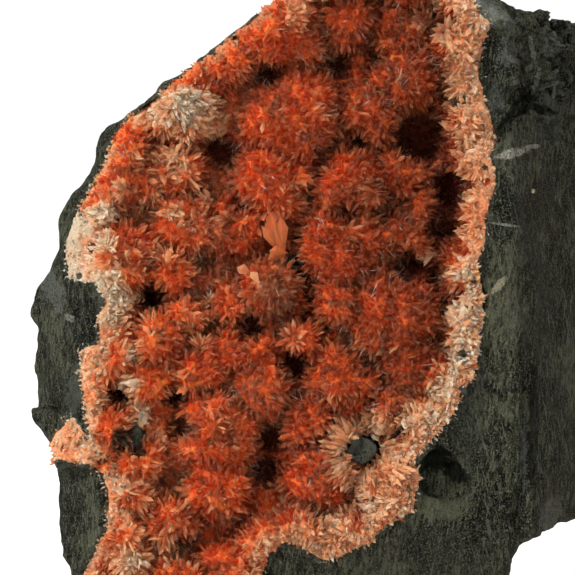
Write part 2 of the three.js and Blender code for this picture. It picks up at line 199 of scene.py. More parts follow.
HEADS = np.array([  # centre x, z; radius; height
    (2, 142, 7, 4.5), (14.5, 140.5, 6.5, 4.5), (-12, 130.5, 8.5, 6.5), (-24, 125, 5.5, 4.5),
    (2, 132.5, 6.5, 3.5), (13, 130.5, 6.5, 3), (24, 126, 6, 5), (13.5, 121, 7, 6),
    (-10, 112.5, 10.5, 6.5), (6.5, 113, 6.5, 4.5), (-34.5, 113, 7, 5), (-44.5, 105, 5, 3.5),
    (26, 111.5, 5, 4), (-43, 98.5, 5.5, 4.5), (-35.5, 101, 6, 4.5), (-14.5, 98.5, 7.5, 6.5),
    (2, 97.5, 8, 6), (12.5, 100.5, 6, 3.5), (19, 92, 5.5, 3.5), (-52.5, 89, 5, 2),
    (-33, 90, 6.5, 3.5), (-23, 89, 6.5, 3), (1, 85.5, 9, 6.5),
    (12.5, 86, 6, 4.5), (-46, 83, 7, 6), (-36.5, 79, 5, 4), (-15, 76, 6, 5),
    (11.5, 71, 10.5, 8), (1, 74, 6, 5), (-31.5, 70.5, 4.5, 4), (-23.5, 73.5, 4, 3.5),
    (26, 67, 4.5, 4), (-7.5, 65.5, 4, 3.5), (-21, 63, 6.5, 3.5), (-38, 66, 6, 4.5),
    (-48.5, 60.5, 4, 3.5), (-40, 57, 5.5, 4.5), (-29.5, 59, 6, 4.5), (1, 57, 8, 6.5),
    (15, 60, 7, 6), (-16.5, 55, 7, 5), (12.5, 51, 6.5, 5.5), (-6.5, 48, 6, 4.5),
    (-26, 46, 8.5, 6.5), (-47, 46, 3.5, 3), (-0.5, 44, 4.5, 4), (-42, 39.5, 5, 4),
    (-4, 35.5, 7.5, 6.5), (10, 33.5, 6.5, 5.5), (-43, 32.5, 4, 3.5), (-26, 33.5, 7, 6),
    (-35.5, 27, 6, 4.5), (-46, 25, 4, 3.5), (-8.5, 25.5, 5.5, 4.5), (1.5, 25, 6, 5),
    (-17, 22, 4.5, 4), (-44, 18.5, 4.5, 4), (-24, 17, 6, 5), (-33.5, 12.5, 6.5, 4.5),
])
PITS = np.array([  # centre x, z; radius; depth
    (17, 108, 7, 9), (23.5, 97, 5.5, 8), (22, 89.5, 5, 7), (14.3, 80.4, 4.8, 6),
    (19.5, 78.5, 3.5, 4), (-0.6, 123.5, 4, 5), (8, 125, 2.8, 3), (-14.7, 121, 4.2, 4.5),
    (-25.2, 105.4, 5, 5), (3.8, 107, 3.2, 4.5), (-40, 74, 4.5, 7), (-46.8, 53, 3.4, 7),
    (-34.5, 53, 3.4, 5.5), (-33, 46.5, 3.4, 5.5), (-19, 67.6, 3.8, 5.5), (-9.5, 59.4, 4.4, 6),
    (-15, 44, 4, 6), (-16, 37, 4.5, 6), (1.7, 63.8, 2.8, 4), (6, 60, 3, 3.5),
    (-33, 22, 4, 4.5), (4.5, 33, 1.8, 2.5), (1, 91.5, 3.5, 3.5), (-21, 93.5, 3, 3.5),
    (-4, 104.5, 3, 3), (-29, 82, 3.5, 3), (-3, 68, 2.5, 3), (11, 41, 2, 2),
])
CRACK = np.array([
    (-8.8, 88), (-9.2, 85), (-8.4, 81.5), (-9, 79), (-7.2, 77), (-6.2, 75.2), (-7, 72),
    (-6.6, 69.3),
])


# %% Measures of the face
def smooth(low, high, value):
    share = np.clip((np.asarray(value, float) - low) / (high - low), 0, 1)
    return share * share * (3 - 2 * share)


def front_depth(x, z):
    """y of the rock's unbroken front, in mm."""
    planes = [at[1] - (normal[0] * (x - at[0]) + normal[2] * (z - at[2])) / normal[1]
              for normal, at in FRONT_FRACTURES]
    return np.max(planes, axis=0)


def distance_to_line(x, z, line, closed=False):
    nearest = np.full(np.shape(x), np.inf)
    ends = np.vstack([line, line[:1]]) if closed else line
    for a, b in zip(ends, ends[1:]):
        run = b - a
        along = np.clip(((x - a[0]) * run[0] + (z - a[1]) * run[1]) / (run @ run), 0, 1)
        away = np.hypot(x - a[0] - along * run[0], z - a[1] - along * run[1])
        nearest = np.minimum(nearest, away)
    return nearest


def is_inside(x, z, outline):
    inside = np.zeros(np.shape(x), bool)
    for (ax, az), (bx, bz) in zip(outline, np.roll(outline, -1, axis=0)):
        if az != bz:
            inside ^= ((az > z) != (bz > z)) & (x < ax + (bx - ax) * (z - az) / (bz - az))
    return inside


def rim_distance(x, z):
    """Distance in mm inside the crust's outline, or less than 0 outside it."""
    away = distance_to_line(x, z, CRUST_OUTLINE, closed=True)
    return np.where(is_inside(x, z, CRUST_OUTLINE), away, -away)


def cap_height(x, z, caps):
    highest = np.zeros(np.shape(x))
    for cx, cz, radius, height in caps:
        share = np.hypot(x - cx, z - cz) / radius
        highest = np.maximum(highest, height * np.clip(1 - share**2, 0, None) ** 0.75)
    return highest


def wave(x, z, spacing, offset=0.0, octaves=1):
    """Smooth unevenness from about -1 to 1, whose swells are about spacing mm apart."""
    places = zip(np.ravel(x) / spacing, np.ravel(z) / spacing)
    values = [noise.fractal(Vector((a, offset + 0.37, b)), 0.9, 2.0, octaves) for a, b in places]
    return np.reshape(values, np.shape(x))


# %% The lie of the crust
def is_bare(x, z, margin):
    bare = np.zeros(np.shape(x), bool)
    for island_x, island_z, half_width, half_height in ROCK_ISLANDS:
        share_x = (x - island_x) / (half_width + margin)
        share_z = (z - island_z) / (half_height + margin)
        bare |= np.hypot(share_x, share_z) < 1
    return bare


def cells_of(x, z, spacing):
    """Small knobs of uneven height, each about spacing mm across."""
    heights = []
    for a, b in zip(np.ravel(x) / spacing, np.ravel(z) / spacing):
        (near, *_), (seed, *_) = noise.voronoi(Vector((a, 0.37, b)))
        tall = 0.7 + 0.6 * noise.cell(seed * 9.1)
        heights.append(tall * math.sqrt(max(0.0, 1 - (near / 0.7) ** 2)))
    return np.reshape(heights, np.shape(x))


SUNK, SUNK_MORE = 3.6, 4.9  # how deep the ground lies at the left; how much more at the right
LOWERED = 1.2  # and how much more between the heads
HEAD_SHARE = 0.87  # of a head's height; its crystals make up the rest
KNOBS = [(1.5, 5.6, 0, 0), (0.8, 2.8, 3, 0), (0.7, 1.5, 0, 5)]  # height, spacing, shift x, z
CRACK_DEPTH = 5


def crust_depth(x, z, rim):
    """y of the ground that the crystals grow from, in mm: deeper inwards and to the right."""
    across = np.clip((x + 45) / 63, 0, 1)
    lowered = LOWERED * smooth(2, 9, rim)
    recess = 0.3 + (SUNK + SUNK_MORE * across) * smooth(0, 9, rim) + lowered
    crack = CRACK_DEPTH * smooth(1.3, 0.7, distance_to_line(x, z, CRACK))
    near_x, near_z = x + 1.6 * wave(x, z, 6.5, 2.9), z + 1.6 * wave(x, z, 6.5, 8.3)
    heads = cap_height(near_x, near_z, HEADS) * smooth(0, 5, rim)
    heads = HEAD_SHARE * heads + lowered * smooth(0, 2.5, heads)
    pits = cap_height(near_x, near_z, PITS) * smooth(0, 3.5, rim)
    knobs = sum(height * cells_of(near_x + shift_x, near_z + shift_z, spacing)
                for height, spacing, shift_x, shift_z in KNOBS)
    return front_depth(x, z) + recess + crack + pits - heads - knobs * smooth(-1, 4, rim)


# %% [markdown]
# ## The rock
# The rough block already has the right planes and ledges, but its facets are a finger wide.
# A voxel remesh turns a copy of it into an even skin of small quads, which can then take the
# finer relief: scooped chips that meet in ridges, broken blocks at the shattered shoulder, and
# a ripple along the foliation. Behind the crust the skin is pushed back, so that it never pokes
# through between the crystals.


# %% Fine skin for the rock
ROCK_STEP = 0.96  # mm between the points of the skin


def object_from(name, shape):
    mesh = bpy.data.meshes.new(name)
    shape.to_mesh(mesh)
    shape.free()
    made = bpy.data.objects.new(name, mesh)
    bpy.context.scene.collection.objects.link(made)
    return made


def fine_rock():
    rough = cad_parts["matrix_rock"]
    shape = bmesh.new()
    shape.from_mesh(rough.data)
    bmesh.ops.remove_doubles(shape, verts=shape.verts, dist=0.001 * MM)
    rock = object_from("dark_rock", shape)
    remesh = rock.modifiers.new("skin", "REMESH")
    remesh.mode = "VOXEL"
    remesh.voxel_size = ROCK_STEP * MM
    depsgraph = bpy.context.evaluated_depsgraph_get()
    rock.data = bpy.data.meshes.new_from_object(rock.evaluated_get(depsgraph), depsgraph=depsgraph)
    rock.modifiers.clear()
    return rock


def in_sizes(place, size):
    return Vector(p / q for p, q in zip(place, size))


def block_relief(place, size):
    """Broken blocks: each stands out or falls back a little, with a groove round it."""
    (near, second, *_), (seed, *_) = noise.voronoi(in_sizes(place, size))
    return (2 * noise.cell(seed * 7.3) - 1) * float(smooth(0, 0.3, second - near))


def slab_relief(place, thickness, breadth):
    """Thin slabs that lie on each other and broke off at uneven lengths."""
    wavy = place + 1.5 * noise.noise_vector(place / 7)
    layer = math.floor((wavy.z + 0.22 * wavy.x) / thickness)
    piece = Vector((wavy.x / breadth + 0.37 * layer, wavy.y / breadth, 3.7 * layer + 0.5))
    return 2 * noise.cell(piece) - 1


def scoops(place, size):
    """Shallow hollows that meet in ridges, as in chipped stone."""
    return 0.5 - 2 * abs(noise.noise(place / size))


CRUMBLY = Vector((52, -20, 126))  # the shattered shoulder at the upper right
CRUMBLY_REACH = 22
RIPPLES = [(0.9, (5, 11, 24)), (0.4, (1.8, 5, 9))]  # height, size along x, y, z
GROOVES = [  # depth; where it begins and is deepest, mm from its line; line in x, z
    (2.2, 1.3, 0.3, np.array([(43.2, 122), (42.3, 118), (37.5, 112), (33, 108)])),
    (1.3, 1.8, 0.2, np.array([(38.2, 80), (39.6, 64), (39.5, 36), (37, 27)])),
]
GROOVES_END = FACE_Y + 20  # neither runs further back
BACK_HALF = 12  # from this y on, the skin is the back of the rock
ISLAND_RISE = 4.2  # mm by which a bare island stands out of the crust's ground


def convexity(point):
    """How far in mm a point stands out from the middle of its neighbours."""
    middle = sum((edge.other_vert(point).co for edge in point.link_edges), Vector())
    return point.normal.dot(point.co - middle / len(point.link_edges)) / MM


# %% Give it its relief
dark_rock = fine_rock()
shape = bmesh.new()
shape.from_mesh(dark_rock.data)
shattered_edges = [edge for edge in shape.edges
                   if all((point.co / MM - CRUMBLY).length < CRUMBLY_REACH for point in edge.verts)]
bmesh.ops.subdivide_edges(shape, edges=shattered_edges, cuts=1, use_grid_fill=True)
shape.normal_update()
wear = shape.verts.layers.float.new("worn")
skin = list(shape.verts)
places = np.array([point.co for point in skin]) / MM
rims = rim_distance(places[:, 0], places[:, 2])
grooves = sum(depth * smooth(edge, middle, distance_to_line(places[:, 0], places[:, 2], line))
              for depth, edge, middle, line in GROOVES)
shattering = smooth(26, 8, np.linalg.norm(places - np.array(CRUMBLY), axis=1))
foot = smooth(0, 4, places[:, 2])
for point in skin:
    point[wear] = convexity(point)
for point, shattered, groove, free in zip(skin, shattering, grooves, foot):
    place = point.co / MM
    relief = 0.1 * block_relief(place, (9, 9, 5))
    if shattered > 0:
        relief += shattered * (1.3 * slab_relief(place, 3.6, 11) + 0.7 * slab_relief(place, 1.6, 5))
    relief += 0.4 * scoops(place, 9) + 0.25 * scoops(place, 4.1)
    for height, size in RIPPLES:
        relief += height * noise.noise(in_sizes(place, size))
    if place.y < GROOVES_END:
        relief -= groove
    point.co += point.normal * relief * free * MM

# %% Push it back behind the crust
places = np.array([point.co for point in skin]) / MM
behind = np.flatnonzero((rims > 0.3) & (places[:, 1] < BACK_HALF))
behind_x, behind_z = places[behind, 0], places[behind, 2]
backs = crust_depth(behind_x, behind_z, rims[behind])
under_crust = 0.8 + 2.0 * smooth(0, 4, rims[behind])
backs += np.where(is_bare(behind_x, behind_z, 0.7), -ISLAND_RISE, under_crust)
for index, back in zip(behind, backs):
    skin[index].co.y = max(skin[index].co.y, back * MM)

shape.normal_update()
for point, shattered in zip(skin, shattering):
    if shattered > 0:
        point[wear] += shattered * convexity(point)
for face in shape.faces:
    face.smooth = True
shape.to_mesh(dark_rock.data)
shape.free()
print("rock triangles:", sum(len(face.vertices) - 2 for face in dark_rock.data.polygons))

# %% [markdown]
# ## The ground of the crust
# A druse grows from a wall of the same mineral. That wall is modelled as a fine sheet over the
# outline, pushed back to the depths above. Its points also keep what the crystals need to know
# where they stand: how close the rim is; how much painted shade they take, in the hollows where the
# ground lies deep and towards the right; how much painted light they take on the heads; and how
# vigorously they grow there.
# A sheet made with a grid operator is the simplest surface whose density is even.

# %% Patches of other colour
PALE_PATCHES = [  # x, z, radius, strength: peach at a half, cream at one
    (-37, 113, 6.5, 0.7), (-31.5, 113.5, 7, 0.85), (-26.5, 111, 6, 0.65), (-34.5, 103, 5, 0.35),
    (-50, 91, 4.5, 0.8), (-49, 85, 4, 0.75),
    (-55, 88, 6, 1.0), (-54, 80, 5, 0.9), (-47.5, 69.5, 4.5, 0.6), (-43.5, 61.5, 3.4, 0.7),
    (-43.5, 56, 3.6, 0.75), (-42, 50.5, 4.2, 0.8), (-55, 44.5, 6, 0.6), (-47, 35, 4.5, 0.5),
    (-46.5, 28, 4.5, 0.5), (-44, 18, 5.5, 0.55), (23.5, 139, 5.5, 0.65), (25, 144, 4, 0.9),
    (28, 130, 4.5, 0.65), (29, 118, 4.5, 0.6), (29, 108, 3.6, 0.65), (28.5, 95, 3, 0.65),
    (27.5, 80, 4.5, 0.85), (26.5, 70, 4.5, 0.95), (26, 62, 5, 1.0), (21.5, 54.5, 5.5, 0.85),
    (16.5, 49, 5.5, 0.7), (4, 46.5, 5.5, 0.55), (11.5, 38, 6.5, 0.7), (8.5, 31, 6, 0.75),
    (-1, 25.5, 6.5, 0.65), (-8, 25.5, 4, 0.5), (-15.5, 21, 5.5, 0.7), (0, 43, 5.5, 0.6),
    (5, 34, 6.5, 0.6), (0, 37, 5, 0.5), (7, 47.5, 6, 0.6),
    (-30.5, 64.5, 3, 0.4), (-34, 91, 3, 0.35), (-26, 31, 4, 0.3),
]
RIM_LEFT = np.array([  # height, width of the pale rim there, strength
    (0, 4, 0.5), (15, 4.5, 0.55), (35, 4, 0.55), (47, 3.5, 0.6), (56, 4, 0.6), (66, 5, 0.65),
    (76, 6, 1.0), (88, 5, 1.1), (96, 2, 0.6), (110, 1.5, 0.5), (148, 1.5, 0.5),
])
RIM_RIGHT = np.array([
    (0, 5, 0.65), (20, 6, 0.75), (30, 7, 0.75), (45, 7.5, 0.85), (60, 6.5, 1.15), (75, 5.5, 1.1),
    (84, 4, 0.8), (90, 2.8, 0.75), (98, 3.5, 0.75), (104, 8, 0.75), (118, 9, 0.8), (130, 8.5, 0.75),
    (140, 6, 0.7), (148, 3, 0.7),
])
STONE_PATCHES = [  # where the rock shows through
    (25.3, 115.5, 1.8, 1.0), (14, 46.8, 1.3, 1.0), (11.3, 44.8, 1.2, 1.0), (27.5, 124, 1.2, 0.8),
    (-46, 44, 3.2, 1.0), (-42.5, 42, 2.5, 1.0), (29.5, 66, 1.2, 0.8), (8.5, 42.5, 1.5, 0.9),
    (-52, 84, 1.6, 0.8), (-55.5, 79, 1.5, 0.8), (-54.5, 91.5, 1.4, 0.7), (-13, 88.5, 1.8, 0.8),
    (-10.3, 81.5, 1.6, 0.9), (-7.5, 78, 1.3, 0.9), (-7, 72, 1.2, 0.8), (29.5, 88.5, 1.3, 0.7),
    (28.5, 77, 1.3, 0.7), (27, 71.5, 1.2, 0.7), (26, 62, 1.5, 0.8), (24.5, 75, 1.5, 0.8),
    (31, 101, 1.3, 0.7), (12.5, 45.8, 2.2, 0.9),
]
THIN_PATCHES = [  # where few crystals stand on the ground
    (-55.5, 87, 8, 0.6), (-54.5, 79, 6, 0.5), (-59, 43, 5, 0.3),
]
BROWN_PATCHES = [
    (-14, 76, 7, 1.0), (-13, 82, 4, 1.0), (-24.5, 103, 5.5, 0.6), (-24, 79, 6, 0.6),
    (-26, 88, 5, 0.5), (-11, 66.5, 3.8, 0.75), (-31, 64, 3, 0.5), (0, 112, 4, 0.35),
    (-33, 26, 5, 0.4),
]


def patch_strength(x, z, patches):
    strongest = np.zeros(np.shape(x))
    near_x, near_z = x + 1.5 * wave(x, z, 3.1, 6.6), z + 1.5 * wave(x, z, 3.1, 12.4)
    for px, pz, radius, strength in patches:
        share = strength * smooth(radius, 0.3 * radius, np.hypot(near_x - px, near_z - pz))
        strongest = np.maximum(strongest, share)
    return strongest


# %% Sheet over the outline
SHEET_STEP = 0.5  # mm between the points of the sheet
OVERHANG = 0.9  # mm by which the crust's ragged edge may pass its outline
IN_FRONT, BACKWARDS = -80, Vector((0, 1, 0))  # where rays start and which way they go
OTHER_FACE = 3  # mm; a ray that meets the rock further off has met another of its faces


def rise_of_rock(x, z, rim):
    """How far the rock stands behind its ideal front at the nearest place outside the crust."""
    tree = bvhtree.BVHTree.FromObject(dark_rock, bpy.context.evaluated_depsgraph_get())
    step = 0.2
    slope_x = (rim_distance(x + step, z) - rim_distance(x - step, z)) / (2 * step)
    slope_z = (rim_distance(x, z + step) - rim_distance(x, z - step)) / (2 * step)
    out = np.clip(rim + 1.2, 0, None)
    outer_x, outer_z = x - slope_x * out, z - slope_z * out
    rise = []
    for a, b, ideal in zip(outer_x, outer_z, front_depth(outer_x, outer_z)):
        hit = tree.ray_cast(Vector((a, IN_FRONT, b)) * MM, BACKWARDS)[0]
        behind = hit.y / MM - ideal if hit else 0.0
        rise.append(behind if abs(behind) < OTHER_FACE else 0.0)
    return np.array(rise)


def blurred(grid, reach):
    """The mean of a grid of values over a square of 2 * reach + 1 cells."""
    for axis in (0, 1):
        padded = np.insert(np.cumsum(np.pad(grid, [(reach, reach)] * 2, "edge"), axis), 0, 0, axis)
        upper = np.take(padded, range(2 * reach + 1, padded.shape[axis]), axis)
        lower = np.take(padded, range(padded.shape[axis] - 2 * reach - 1), axis)
        inner = [slice(None)] * 2
        inner[1 - axis] = slice(reach, -reach)
        grid = ((upper - lower) / (2 * reach + 1))[tuple(inner)]
    return grid


def clouds(x, z):
    return wave(x, z, 7, 4.2, octaves=3)


def fairness(x, z):
    """How far the crystals are lighter towards the left, unevenly."""
    return smooth(-15, -42, x) * (0.55 + wave(x, z, 3.4, 14.8, octaves=2))


def paleness(x, z, rim, cloud):
    """0 for orange, a half for peach, 1 for cream."""
    left, right = ([np.interp(z, bands[:, 0], bands[:, i]) for i in (1, 2)]
                   for bands in (RIM_LEFT, RIM_RIGHT))
    width, strength = np.where(np.asarray(x) < -11, left, right)
    band = strength * smooth(width, 0.35 * width, rim + 4.5 * cloud)
    pale = np.maximum(band, patch_strength(x, z, PALE_PATCHES))
    return pale + 0.35 * cloud + 0.32 * fairness(x, z)


def crust_sheet():
    low_x, low_z = CRUST_OUTLINE.min(0) - 1.5
    high_x, high_z = CRUST_OUTLINE.max(0) + 1.5
    columns = int((high_x - low_x) / SHEET_STEP)
    rows = int((high_z - low_z) / SHEET_STEP)
    sheet = bmesh.new()
    bmesh.ops.create_grid(sheet, x_segments=columns, y_segments=rows, size=0.5)
    points = np.array([point.co for point in sheet.verts])
    x = points[:, 0] * (high_x - low_x) + (low_x + high_x) / 2
    z = points[:, 1] * (high_z - low_z) + (low_z + high_z) / 2
    wander = wave(x, z, 2.3, 1.7)
    rim = rim_distance(x, z) + 0.9 * wander
    outside = (rim < -OVERHANG) | is_bare(x, z, 0.5 * wander)
    seat = rise_of_rock(x, z, rim_distance(x, z)) * smooth(6, 1, rim)
    depth = crust_depth(x, z, rim) + seat + 0.5 * smooth(0.2, -OVERHANG, rim)
    for point, a, b, c in zip(sheet.verts, x, depth, z):
        point.co = Vector((a, b, c)) * MM

    order = np.lexsort((x, z))
    grid = depth[order].reshape(-1, len(np.unique(np.round(x, 3))))
    stands_out = np.empty(len(x))
    stands_out[order] = (blurred(grid, 5) - grid).ravel()
    cloud = clouds(x, z)
    hollow = np.clip(cap_height(x, z, PITS) / 4, 0, 1)
    sunk = smooth(4, 10, depth - front_depth(x, z))
    valley = smooth(0.1, 2.2, -stands_out)
    murky = smooth(-0.15, 0.35, wave(x, z, 8, 21.3, octaves=2)) * smooth(1.2, -0.6, stands_out)
    thin = patch_strength(x, z, THIN_PATCHES)
    to_crack = distance_to_line(x, z, CRACK)
    growth = 0.4 + 0.3 * smooth(-0.5, 2, rim) + 0.4 * smooth(0, 6, rim)
    lie = {
        "rim": paleness(x, z, rim, cloud),
        # painted shade: darker in the pits, where the ground lies far back, and a little between
        # the heads
        "deep": np.maximum.reduce([hollow, 0.6 * sunk, 0.15 * valley]) * smooth(0, 4, rim),
        # painted light on the heads that stand out and towards the left; it also tells where
        # crystal points stand thickest
        "swell": smooth(-0.3, 2.4, stands_out) * (1 - hollow) + 0.5 * fairness(x, z),
        # painted shade: darker towards the right, away from the light, unevenly
        "shade": smooth(-20, 20, x + 14 * wave(x, z, 19, 31.7, octaves=2)),
        "brown": np.maximum(patch_strength(x, z, BROWN_PATCHES), 0.85 * murky),
        "stone": np.maximum(patch_strength(x, z, STONE_PATCHES), smooth(1.2, 0.6, to_crack)),
        "vigour": (growth * (1.1 - 0.4 * hollow) + 0.15 * cloud) * (1 - thin),
        "wisps": smooth(0.1, 0.6, wave(x, z, 8, 9.6, octaves=2)) * smooth(1.4, 0, stands_out),
        "sown": smooth(1.0, 1.4, to_crack) * (1 - 1.3 * thin),
    }
    for name, values in lie.items():
        layer = sheet.verts.layers.float.new(name)
        for point, value in zip(sheet.verts, values):
            point[layer] = value
    gone = [point for point, out in zip(list(sheet.verts), outside) if out]
    bmesh.ops.delete(sheet, geom=gone, context="VERTS")
    bmesh.ops.recalc_face_normals(sheet, faces=sheet.faces)
    if sum(face.normal.y for face in sheet.faces) > 0:
        bmesh.ops.reverse_faces(sheet, faces=sheet.faces)
    return sheet


sheet_shape = crust_sheet()
bed = object_from("bed_for_sowing", sheet_shape.copy())
print("sheet points:", len(bed.data.vertices))

# %% Give the sheet a thickness
WALL = 3.2 * MM

front = list(sheet_shape.faces)
back = bmesh.ops.extrude_face_region(sheet_shape, geom=front)["geom"]
front_points = {item for item in back if isinstance(item, bmesh.types.BMVert)}
back_points = [point for point in sheet_shape.verts if point not in front_points]
bmesh.ops.translate(sheet_shape, vec=(0, WALL, 0), verts=back_points)
bmesh.ops.recalc_face_normals(sheet_shape, faces=sheet_shape.faces)
for face in sheet_shape.faces:
    face.smooth = True
crystal_ground = object_from("crystal_ground", sheet_shape)
print("ground triangles:", 2 * len(crystal_ground.data.polygons))

# %% [markdown]
# ## One crystal
# The crystals are blades: a flat rhombus in section, widest at a shoulder about half way up,
# and then a long tip. A cone operator makes the shank and poking its top face raises the tip, so
# each shape has only about a dozen faces. That matters, because it is repeated thousands of
# times. Each goes on below its foot, into the ground, so that neighbours look grown together.

# %% Crystal shapes
BURIED = 0.5  # the part below the foot, as a share of the part above it


def crystal(name, sides, shoulder, shank, flatness=1.0, lean=0.0):
    """A point 1 unit long and about 1 unit wide; shank is the share below its shoulder."""
    shape = bmesh.new()
    bmesh.ops.create_cone(shape, cap_ends=True, cap_tris=False, segments=sides,
                          radius1=0.5 * shoulder, radius2=0.5, depth=shank + BURIED)
    bmesh.ops.translate(shape, vec=(0, 0, (shank - BURIED) / 2), verts=shape.verts)
    top = max(shape.faces, key=lambda face: face.calc_center_median().z)
    tip = bmesh.ops.poke(shape, faces=[top], offset=1 - shank)["verts"]
    bmesh.ops.translate(shape, vec=(lean, 0, 0), verts=tip)
    bmesh.ops.scale(shape, vec=(1, flatness, 1), verts=shape.verts)
    along = shape.verts.layers.float.new("tip")
    for point in shape.verts:
        point[along] = min(max(point.co.z, 0), 1)
    return object_from(name, shape)


blades = [
    crystal("blade_broad", 4, 0.75, 0.55, flatness=0.42, lean=0.2),
    crystal("blade_slim", 4, 0.65, 0.45, flatness=0.28, lean=-0.2),
    crystal("blade_stout", 5, 0.8, 0.6, flatness=0.55, lean=0.12),
]
points = [
    crystal("point_broad", 4, 0.75, 0.72, flatness=0.42, lean=0.2),
    crystal("point_slim", 4, 0.7, 0.66, flatness=0.3, lean=-0.15),
]
needles = [crystal("needle", 3, 0.7, 0.5)]
chunks = [
    crystal("chunk_block", 4, 0.9, 0.72, flatness=0.75, lean=0.2),
    crystal("chunk_blade", 4, 0.75, 0.6, flatness=0.42, lean=0.15),
    crystal("chunk_five", 5, 0.85, 0.7, flatness=0.8, lean=-0.15),
]

# %% [markdown]
# ## Sowing crystals
# Placing thousands of crystals by hand is hopeless, and an even array looks like a brush. The
# real ones start at random seeds, never quite on top of each other, and grow square to the
# ground, so they fan out over each head. Geometry nodes do exactly that: scatter points with a
# least distance, turn one of the shapes along the surface's normal plus a little disorder, and
# make the whole crop real, so that a plain mesh is left.


# %% Geometry nodes that sow
FULL_TURN = 6.283
THICKEST = 9e6  # seeds on a square metre, more than their least distance lets in


class Sowing(Nodes):
    """Geometry nodes under construction; what they leave to chance follows from one seed."""

    def __init__(self, name, seed):
        super().__init__(bpy.data.node_groups.new(name, "GeometryNodeTree"))
        for in_out in ("INPUT", "OUTPUT"):
            self.tree.interface.new_socket("Geometry", in_out=in_out,
                                           socket_type="NodeSocketGeometry")
        self.seed = seed

    def kept(self, name):
        made = self.node("GeometryNodeInputNamedAttribute", {"Name": name}, data_type="FLOAT")
        return made.outputs[0]

    def by_chance(self, low, high, number):
        """A random value; number tells it from the other chances."""
        made = self.node("FunctionNodeRandomValue",
                         {2: low, 3: high, "Seed": self.seed * 10 + number}, data_type="FLOAT")
        return made.outputs[1]

    def seeds(self, ground, share, spacing):
        """Points on the ground that each keep a tone, and the ground's normals there."""
        scatter = self.node("GeometryNodeDistributePointsOnFaces",
                            {"Mesh": ground, "Distance Min": spacing * MM,
                             "Density Max": THICKEST, "Density Factor": share,
                             "Seed": self.seed}, distribute_method="POISSON")
        toned = self.node("GeometryNodeStoreNamedAttribute",
                          {"Geometry": scatter.outputs["Points"], "Name": "tone",
                           "Value": self.by_chance(0, 1, 1)}, data_type="FLOAT", domain="POINT")
        return toned.outputs[0], scatter.outputs["Normal"]

    def turns(self, normal, lean):
        stray = self.node("FunctionNodeRandomValue",
                          {0: (-lean,) * 3, 1: (lean,) * 3, "Seed": self.seed * 10 + 2},
                          data_type="FLOAT_VECTOR")
        heading = self.node("ShaderNodeVectorMath", {0: normal, 1: stray.outputs[0]},
                            operation="ADD")
        upright = self.node("FunctionNodeAlignRotationToVector",
                            {"Vector": heading.outputs[0]}, axis="Z")
        spin = self.node("FunctionNodeAxisAngleToRotation",
                         {"Axis": (0, 0, 1), "Angle": self.by_chance(0, FULL_TURN, 3)})
        turned = self.node("FunctionNodeRotateRotation",
                           {"Rotation": upright.outputs[0], "Rotate By": spin.outputs[0]},
                           rotation_space="LOCAL")
        return turned.outputs[0]

    def sizes(self, widths, lengths):
        """Smaller where the crust is less vigorous."""
        vigour = self.kept("vigour")
        girth = self.math("MINIMUM", self.plus(self.times(vigour, 0.75), 0.2), 1.0)
        wide = self.times(self.by_chance(widths[0] * MM, widths[1] * MM, 4), girth)
        reach = self.times(self.by_chance(lengths[0] * MM, lengths[1] * MM, 5), vigour)
        return self.node("ShaderNodeCombineXYZ", {0: wide, 1: wide, 2: reach}).outputs[0]

    def shapes(self, objects):
        """All the shapes, and the number of the one that each seed gets."""
        choice = self.node("GeometryNodeJoinGeometry")
        for shape in objects:
            info = self.node("GeometryNodeObjectInfo", {"Object": shape})
            as_one = self.node("GeometryNodeGeometryToInstance", {0: info.outputs["Geometry"]})
            self.feed(choice.inputs[0], as_one.outputs[0])
        which = self.node("FunctionNodeRandomValue",
                          {4: 0, 5: len(objects) - 1, "Seed": self.seed * 10 + 6},
                          data_type="INT")
        return choice.outputs[0], which.outputs[2]


# %% Sow one crop
def sow(name, ground, shapes, spacing, widths, lengths, lean, seed, wanted, heights=(0, 160)):
    """Grows shapes on ground between two heights, as one mesh.

    Sizes are in mm. Lean is the disorder of the crystals' directions. Wanted names a value that
    the ground keeps: how thickly they stand is slope times that value, plus start.
    """
    nodes = Sowing(name, seed)
    spot = nodes.node("GeometryNodeInputPosition").outputs[0]
    height = nodes.node("ShaderNodeSeparateXYZ", {0: spot}).outputs["Z"]
    in_band = nodes.times(nodes.math("GREATER_THAN", height, heights[0] * MM),
                          nodes.math("LESS_THAN", height, heights[1] * MM))
    value, slope, start = wanted
    share = nodes.plus(nodes.times(nodes.kept(value), slope), start)
    share = nodes.times(nodes.times(share, nodes.kept("sown")), in_band)
    begin = nodes.node("NodeGroupInput").outputs[0]
    seeds, normal = nodes.seeds(begin, share, spacing)
    choice, which = nodes.shapes(shapes)
    grown = nodes.node("GeometryNodeInstanceOnPoints",
                       {"Points": seeds, "Instance": choice, "Pick Instance": True,
                        "Instance Index": which, "Rotation": nodes.turns(normal, lean),
                        "Scale": nodes.sizes(widths, lengths)})
    real = nodes.node("GeometryNodeRealizeInstances", {0: grown.outputs[0]})
    nodes.node("NodeGroupOutput", {0: real.outputs[0]})

    field = ground.copy()
    bpy.context.scene.collection.objects.link(field)
    field.modifiers.new("sowing", "NODES").node_group = nodes.tree
    depsgraph = bpy.context.evaluated_depsgraph_get()
    mesh = bpy.data.meshes.new_from_object(field.evaluated_get(depsgraph), depsgraph=depsgraph)
    mesh.name = name
    bpy.data.objects.remove(field)
    bpy.data.node_groups.remove(nodes.tree)
    crop = bpy.data.objects.new(name, mesh)
    bpy.context.scene.collection.objects.link(crop)
    mesh.calc_loop_triangles()
    print(name, "triangles:", len(mesh.loop_triangles))
    return crop


